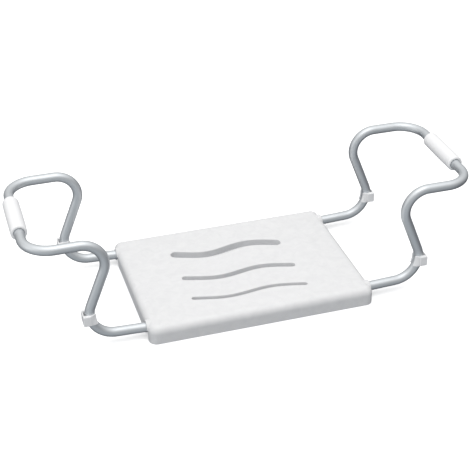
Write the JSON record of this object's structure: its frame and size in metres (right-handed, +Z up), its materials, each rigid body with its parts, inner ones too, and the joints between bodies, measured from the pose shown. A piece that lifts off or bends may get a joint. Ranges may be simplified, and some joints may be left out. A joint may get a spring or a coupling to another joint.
{
  "type": "bath seat",
  "caption": "Slotted seat board hung between a bath's rims by two sliding bent-tube frames with hand grips and bumper clips.",
  "frame": {"origin": "centre of the seat board's flat underside, which is the bottom centre of the whole part", "axes": "+X across the bath to the right-hand frame, +Y towards the wide drain slot at the rear, +Z up"},
  "size_m": [0.7612, 0.282, 0.2021],
  "materials": {
    "moulded_board": "fine satin moulded polypropylene",
    "satin_aluminium": "satin anodised drawn tube",
    "grip_plastic": "smooth soft white plastic",
    "clip_plastic": "moulded white polyethylene",
    "plug_plastic": "moulded grey polyethylene",
    "guide_nylon": "natural nylon",
    "saddle_plastic": "moulded glass-filled nylon",
    "screw_steel": "stainless, turned",
    "insert_brass": "turned brass"
  },
  "bodies": {
    "seat": {"seat_board": "moulded_board", "guide_shoe_left_front": "guide_nylon", "clamp_saddle_left_front": "saddle_plastic", "saddle_screws_left_front": "screw_steel", "screw_inserts_left_front": "insert_brass", "guide_shoe_left_rear": "guide_nylon", "clamp_saddle_left_rear": "saddle_plastic", "saddle_screws_left_rear": "screw_steel", "screw_inserts_left_rear": "insert_brass", "guide_shoe_right_front": "guide_nylon", "clamp_saddle_right_front": "saddle_plastic", "saddle_screws_right_front": "screw_steel", "screw_inserts_right_front": "insert_brass", "guide_shoe_right_rear": "guide_nylon", "clamp_saddle_right_rear": "saddle_plastic", "saddle_screws_right_rear": "screw_steel", "screw_inserts_right_rear": "insert_brass"},
    "left_frame": {"left_frame_tube": "satin_aluminium", "bumper_clip_left_front": "clip_plastic", "tube_plug_left_front": "plug_plastic", "bumper_clip_left_rear": "clip_plastic", "tube_plug_left_rear": "plug_plastic"},
    "left_grip": {"left_grip_sleeve": "grip_plastic"},
    "right_frame": {"right_frame_tube": "satin_aluminium", "bumper_clip_right_front": "clip_plastic", "tube_plug_right_front": "plug_plastic", "bumper_clip_right_rear": "clip_plastic", "tube_plug_right_rear": "plug_plastic"},
    "right_grip": {"right_grip_sleeve": "grip_plastic"}
  },
  "joints": [
    {"name": "left_frame_slide", "type": "slide", "parent": "seat", "child": "left_frame", "axis": [-0.9993, 0, 0.0384], "range_m": [-0.042, 0.03]},
    {"name": "left_grip_turn", "type": "hinge", "parent": "left_frame", "child": "left_grip", "pos_m": [-0.3671, 0, 0.1886], "axis": [0, 1, 0], "continuous": true},
    {"name": "right_frame_slide", "type": "slide", "parent": "seat", "child": "right_frame", "axis": [0.9993, 0, 0.0384], "range_m": [-0.042, 0.03]},
    {"name": "right_grip_turn", "type": "hinge", "parent": "right_frame", "child": "right_grip", "pos_m": [0.3671, 0, 0.1886], "axis": [0, 1, 0], "continuous": true}
  ]
}
